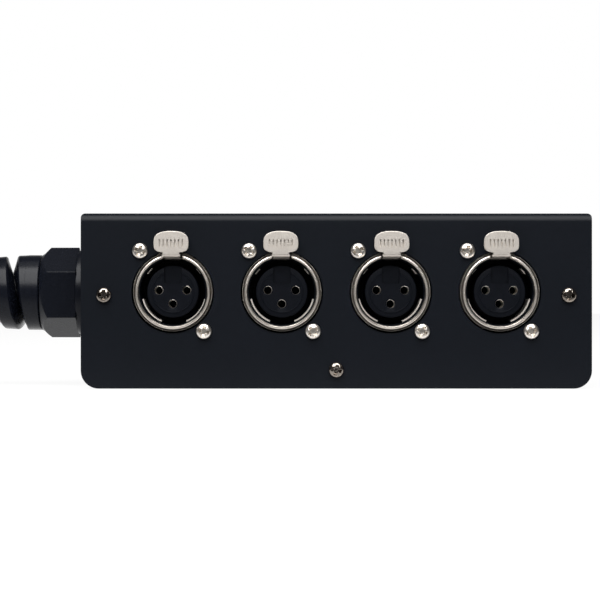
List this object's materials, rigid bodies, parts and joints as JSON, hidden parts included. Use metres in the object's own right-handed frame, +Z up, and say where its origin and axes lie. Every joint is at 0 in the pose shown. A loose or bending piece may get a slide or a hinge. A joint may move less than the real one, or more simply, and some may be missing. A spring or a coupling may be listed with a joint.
{
  "type": "stage box snake",
  "caption": "Small stage box snake: folded black steel box with a row of latching XLR sockets, spiral gland, coiled multicore and a fan-out of male plugs.",
  "frame": {"origin": "centre of the box's underside, on the floor", "axes": "+X along the box, away from the cable gland; -Y out of the socket panel; +Z up"},
  "size_m": [0.3715, 0.1722, 0.0679],
  "materials": {
    "powder_coat": "fine satin black powder coat",
    "nickel_casting": "bright nickel plate",
    "nickel_pressing": "satin nickel plate",
    "bright_screw": "bright nickel plate",
    "black_screw": "black nickel plate",
    "spring_steel": "drawn wire",
    "insert_plastic": "black, fine grain",
    "gland_nylon": "black, half gloss",
    "seal_rubber": "matt black",
    "cable_jacket": "matt black",
    "tie_fabric": "black woven hook and loop"
  },
  "bodies": {
    "box": {"cover": "powder_coat", "base_tray": "powder_coat", "cover_screw_front_left": "black_screw", "cover_screw_front_right": "black_screw", "cover_screw_front_bottom": "black_screw", "cover_screw_rear_left": "black_screw", "cover_screw_rear_right": "black_screw", "cover_screw_rear_bottom": "black_screw", "socket_shell_1": "nickel_casting", "socket_insert_1": "insert_plastic", "latch_spring_1": "spring_steel", "socket_screw_upper_1": "bright_screw", "socket_screw_lower_1": "bright_screw", "socket_shell_2": "nickel_casting", "socket_insert_2": "insert_plastic", "latch_spring_2": "spring_steel", "socket_screw_upper_2": "bright_screw", "socket_screw_lower_2": "bright_screw", "socket_shell_3": "nickel_casting", "socket_insert_3": "insert_plastic", "latch_spring_3": "spring_steel", "socket_screw_upper_3": "bright_screw", "socket_screw_lower_3": "bright_screw", "socket_shell_4": "nickel_casting", "socket_insert_4": "insert_plastic", "latch_spring_4": "spring_steel", "socket_screw_upper_4": "bright_screw", "socket_screw_lower_4": "bright_screw", "gland_washer": "seal_rubber", "gland_body": "gland_nylon", "gland_seal": "seal_rubber", "gland_spiral_cap": "gland_nylon", "gland_locknut": "gland_nylon", "cable_entry": "cable_jacket", "trunk_cable": "cable_jacket", "trunk_coil": "cable_jacket", "coil_tie": "tie_fabric", "fanout_boot": "seal_rubber", "fanout_tail_1": "cable_jacket", "plug_shell_1": "nickel_casting", "plug_insert_1": "insert_plastic", "plug_boot_1": "seal_rubber", "fanout_tail_2": "cable_jacket", "plug_shell_2": "nickel_casting", "plug_insert_2": "insert_plastic", "plug_boot_2": "seal_rubber", "fanout_tail_3": "cable_jacket", "plug_shell_3": "nickel_casting", "plug_insert_3": "insert_plastic", "plug_boot_3": "seal_rubber", "fanout_tail_4": "cable_jacket", "plug_shell_4": "nickel_casting", "plug_insert_4": "insert_plastic", "plug_boot_4": "seal_rubber"},
    "latch_1": {"latch_lever_1": "nickel_pressing"},
    "latch_2": {"latch_lever_2": "nickel_pressing"},
    "latch_3": {"latch_lever_3": "nickel_pressing"},
    "latch_4": {"latch_lever_4": "nickel_pressing"}
  },
  "joints": [
    {"name": "latch_1_press", "type": "hinge", "parent": "box", "child": "latch_1", "pos_m": [-0.048, -0.0165, 0.0396], "axis": [-1, 0, 0], "range_deg": [0, 7], "stiffness_Nm_per_rad": 0.1, "deforming": ["latch_spring_1"]},
    {"name": "latch_2_press", "type": "hinge", "parent": "box", "child": "latch_2", "pos_m": [-0.016, -0.0165, 0.0396], "axis": [-1, 0, 0], "range_deg": [0, 7], "stiffness_Nm_per_rad": 0.1, "deforming": ["latch_spring_2"]},
    {"name": "latch_3_press", "type": "hinge", "parent": "box", "child": "latch_3", "pos_m": [0.016, -0.0165, 0.0396], "axis": [-1, 0, 0], "range_deg": [0, 7], "stiffness_Nm_per_rad": 0.1, "deforming": ["latch_spring_3"]},
    {"name": "latch_4_press", "type": "hinge", "parent": "box", "child": "latch_4", "pos_m": [0.048, -0.0165, 0.0396], "axis": [-1, 0, 0], "range_deg": [0, 7], "stiffness_Nm_per_rad": 0.1, "deforming": ["latch_spring_4"]}
  ]
}
